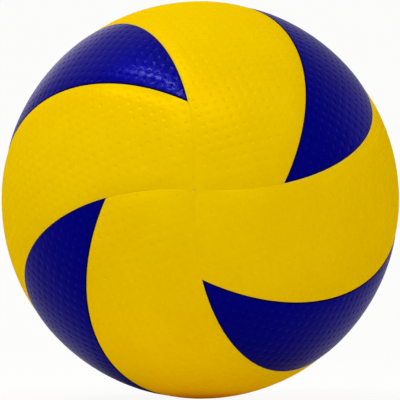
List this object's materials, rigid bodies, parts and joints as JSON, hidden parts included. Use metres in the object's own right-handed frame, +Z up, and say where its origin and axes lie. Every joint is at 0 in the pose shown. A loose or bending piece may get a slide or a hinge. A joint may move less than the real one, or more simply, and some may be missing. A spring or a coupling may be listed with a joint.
{
  "type": "volleyball",
  "caption": "Laminated indoor volleyball: swirl panels in yellow and blue over foam, cloth, rubber and thread, with a needle valve.",
  "frame": {"origin": "centre of the ball", "axes": "-Y through the middle of the yellow panels, towards the viewer of the picture; +Y through the middle of the blue panels; +Z up"},
  "size_m": [0.21, 0.21, 0.21],
  "materials": {
    "yellow_skin": "satin",
    "blue_skin": "satin",
    "foam": "matte",
    "cloth": "matte",
    "carcass_rubber": "matte",
    "thread": "satin",
    "butyl": "satin",
    "valve_rubber": "satin",
    "core_rubber": "satin"
  },
  "bodies": {
    "root": {"yellow_panel_1": "yellow_skin", "yellow_panel_2": "yellow_skin", "yellow_panel_3": "yellow_skin", "yellow_panel_4": "yellow_skin", "blue_panel_1": "blue_skin", "blue_panel_2": "blue_skin", "blue_panel_3": "blue_skin", "blue_panel_4": "blue_skin", "yellow_backing_1": "foam", "yellow_backing_2": "foam", "yellow_backing_3": "foam", "yellow_backing_4": "foam", "blue_backing_1": "foam", "blue_backing_2": "foam", "blue_backing_3": "foam", "blue_backing_4": "foam", "lining_cloth": "cloth", "rubber_carcass": "carcass_rubber", "thread_winding": "thread", "bladder": "butyl", "valve_housing": "valve_rubber", "valve_core": "core_rubber", "valve_patch": "butyl", "balance_patch": "butyl"}
  },
  "joints": []
}
